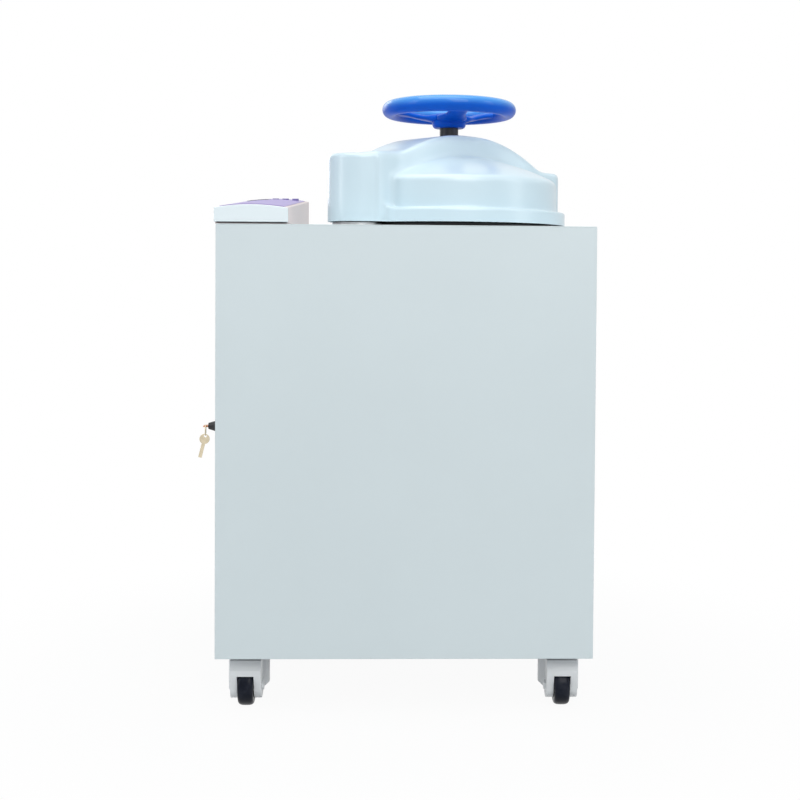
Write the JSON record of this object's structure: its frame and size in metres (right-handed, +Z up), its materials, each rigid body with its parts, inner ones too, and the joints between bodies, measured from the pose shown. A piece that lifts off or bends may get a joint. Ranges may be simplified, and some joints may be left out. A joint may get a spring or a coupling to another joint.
{
  "type": "vertical autoclave",
  "caption": "Vertical steam autoclave on casters: sheet metal cabinet, round chamber, swing-aside lid under a handwheel, wedge console and a lockable side door.",
  "frame": {"origin": "on the floor, under the middle of the cabinet", "axes": "+Z up, -Y the plain front face, +X the right side as seen from the front, the console stands at -X"},
  "size_m": [0.6208, 0.492, 0.9845],
  "materials": {
    "cabinet_sheet": "satin light grey-blue powder coat",
    "chassis_paint": "grey primer enamel",
    "deck_sheet": "satin pale powder coat",
    "zinc": "zinc-plated steel",
    "stainless": "brushed stainless steel",
    "seal_rubber": "black silicone",
    "mineral_wool": "mineral wool blanket",
    "copper": "copper pipe",
    "brass": "machined brass",
    "red_plastic": "red dipped vinyl",
    "bottle_plastic": "translucent polyethylene",
    "board_green": "solder-masked circuit board",
    "black_plastic": "black moulded plastic",
    "console_plastic": "pinkish grey moulded plastic",
    "cap_plastic": "pale moulded plastic",
    "membrane": "violet overlay film",
    "display_window": "dark display window",
    "key_cap": "dark key cap",
    "cover_plastic": "glossy bluish white moulded cover",
    "beam_paint": "grey painted steel",
    "bronze": "cast bronze",
    "dark_steel": "blackened steel",
    "handwheel_blue": "glossy blue moulded plastic",
    "caster_white": "pale painted pressing",
    "wheel_rubber": "black tread",
    "key_brass": "nickel-brass key"
  },
  "bodies": {
    "cabinet": {"chassis_frame": "chassis_paint", "front_panel": "cabinet_sheet", "right_panel": "cabinet_sheet", "rear_panel": "cabinet_sheet", "deck_panel": "deck_sheet", "caster_plates": "zinc", "chamber": "stainless", "chamber_flange": "dark_steel", "lid_gasket": "seal_rubber", "insulation_jacket": "mineral_wool", "support_skirt": "chassis_paint", "heating_element": "stainless", "level_probe": "stainless", "chamber_rack": "stainless", "lower_basket": "stainless", "lower_basket_bail": "stainless", "upper_basket": "stainless", "drain_pipe": "copper", "drain_valve": "brass", "exhaust_pipe": "copper", "exhaust_valve": "brass", "safety_valve": "brass", "condensate_bottle": "bottle_plastic", "control_board": "board_green", "cable_gland": "black_plastic", "switch_frame": "black_plastic", "pivot_post": "zinc", "catch_stud": "zinc", "console_housing": "console_plastic", "console_front_cap": "cap_plastic", "console_membrane": "membrane", "console_display": "display_window", "frame_hinge_leaves": "zinc"},
    "lid_arm": {"lid_cover": "cover_plastic", "lid_beam": "beam_paint", "spindle_nut": "bronze"},
    "lid_plate": {"pressure_lid": "stainless", "thrust_ring": "bronze"},
    "screw": {"spindle": "dark_steel", "handwheel": "handwheel_blue"},
    "door": {"service_door": "cabinet_sheet", "door_hinge_leaves": "zinc", "lock_barrel": "black_plastic"},
    "lock_plug": {"lock_plug_and_key": "black_plastic"},
    "spare_keys": {"key_ring_and_spare": "key_brass"},
    "drain_handle": {"drain_lever": "red_plastic"},
    "safety_handle": {"safety_lever": "red_plastic"},
    "basket_bail": {"upper_basket_bail": "stainless"},
    "left_key": {"key_left": "key_cap"},
    "middle_key": {"key_middle": "key_cap"},
    "right_key": {"key_right": "key_cap"},
    "rocker": {"switch_rocker": "red_plastic"},
    "caster_front_left": {"caster_fork_front_left": "caster_white"},
    "wheel_front_left": {"caster_wheel_front_left": "wheel_rubber"},
    "caster_front_right": {"caster_fork_front_right": "caster_white"},
    "wheel_front_right": {"caster_wheel_front_right": "wheel_rubber"},
    "caster_rear_left": {"caster_fork_rear_left": "caster_white"},
    "wheel_rear_left": {"caster_wheel_rear_left": "wheel_rubber"},
    "caster_rear_right": {"caster_fork_rear_right": "caster_white"},
    "wheel_rear_right": {"caster_wheel_rear_right": "wheel_rubber"}
  },
  "joints": [
    {"name": "lid_swing", "type": "hinge", "parent": "cabinet", "child": "lid_arm", "pos_m": [-0.07849, -0.1355, 0.824], "axis": [0, 0, -1], "range_deg": [0, 95]},
    {"name": "lid_lift", "type": "slide", "parent": "lid_arm", "child": "lid_plate", "axis": [0, 0, 1], "range_m": [0, 0.012]},
    {"name": "handwheel_turn", "type": "hinge", "parent": "lid_plate", "child": "screw", "pos_m": [0.072, 0, 0.964], "axis": [0, 0, 1], "range_deg": [0, 541]},
    {"name": "door_swing", "type": "hinge", "parent": "cabinet", "child": "door", "pos_m": [-0.2993, 0.221, 0.42], "axis": [0, 0, -1], "range_deg": [0, 100]},
    {"name": "lock_turn", "type": "hinge", "parent": "door", "child": "lock_plug", "pos_m": [-0.295, -0.2, 0.447], "axis": [1, 0, 0], "range_deg": [0, 90]},
    {"name": "spare_keys_swing", "type": "hinge", "parent": "lock_plug", "child": "spare_keys", "pos_m": [-0.3144, -0.207, 0.447], "axis": [0, 1, 0], "range_deg": [-8, 10]},
    {"name": "drain_lever_turn", "type": "hinge", "parent": "cabinet", "child": "drain_handle", "pos_m": [-0.205, 0, 0.156], "axis": [0, 0, -1], "range_deg": [0, 90]},
    {"name": "safety_lever_lift", "type": "hinge", "parent": "cabinet", "child": "safety_handle", "pos_m": [-0.121, 0.062, 0.7383], "axis": [0, 1, 0], "range_deg": [0, 25]},
    {"name": "basket_bail_swing", "type": "hinge", "parent": "cabinet", "child": "basket_bail", "pos_m": [0.072, 0, 0.6602], "axis": [0, -1, 0], "range_deg": [0, 90]},
    {"name": "left_key_press", "type": "slide", "parent": "cabinet", "child": "left_key", "axis": [0, 0.0755, -0.9971], "range_m": [0, 0.001], "stiffness_N_per_m": 300, "springref_m": -0.0005},
    {"name": "middle_key_press", "type": "slide", "parent": "cabinet", "child": "middle_key", "axis": [0, 0.0755, -0.9971], "range_m": [0, 0.001], "stiffness_N_per_m": 300, "springref_m": -0.0005},
    {"name": "right_key_press", "type": "slide", "parent": "cabinet", "child": "right_key", "axis": [0, 0.0755, -0.9971], "range_m": [0, 0.001], "stiffness_N_per_m": 300, "springref_m": -0.0005},
    {"name": "rocker_tilt", "type": "hinge", "parent": "cabinet", "child": "rocker", "pos_m": [-0.15, 0.237, 0.1395], "axis": [-1, 0, 0], "range_deg": [0, 13]},
    {"name": "caster_front_left_swivel", "type": "hinge", "parent": "cabinet", "child": "caster_front_left", "pos_m": [-0.251, -0.15, 0.07], "axis": [0, 0, 1], "continuous": true},
    {"name": "wheel_front_left_spin", "type": "hinge", "parent": "caster_front_left", "child": "wheel_front_left", "pos_m": [-0.251, -0.185, 0.0315], "axis": [1, 0, 0], "continuous": true},
    {"name": "caster_front_right_swivel", "type": "hinge", "parent": "cabinet", "child": "caster_front_right", "pos_m": [0.251, -0.15, 0.07], "axis": [0, 0, 1], "continuous": true},
    {"name": "wheel_front_right_spin", "type": "hinge", "parent": "caster_front_right", "child": "wheel_front_right", "pos_m": [0.251, -0.185, 0.0315], "axis": [1, 0, 0], "continuous": true},
    {"name": "caster_rear_left_swivel", "type": "hinge", "parent": "cabinet", "child": "caster_rear_left", "pos_m": [-0.251, 0.15, 0.07], "axis": [0, 0, 1], "continuous": true},
    {"name": "wheel_rear_left_spin", "type": "hinge", "parent": "caster_rear_left", "child": "wheel_rear_left", "pos_m": [-0.251, 0.115, 0.0315], "axis": [1, 0, 0], "continuous": true},
    {"name": "caster_rear_right_swivel", "type": "hinge", "parent": "cabinet", "child": "caster_rear_right", "pos_m": [0.251, 0.15, 0.07], "axis": [0, 0, 1], "continuous": true},
    {"name": "wheel_rear_right_spin", "type": "hinge", "parent": "caster_rear_right", "child": "wheel_rear_right", "pos_m": [0.251, 0.115, 0.0315], "axis": [1, 0, 0], "continuous": true}
  ],
  "couplings": [
    {"joint": "handwheel_turn", "follows": "lid_lift", "rad_per_m": 785.4}
  ]
}
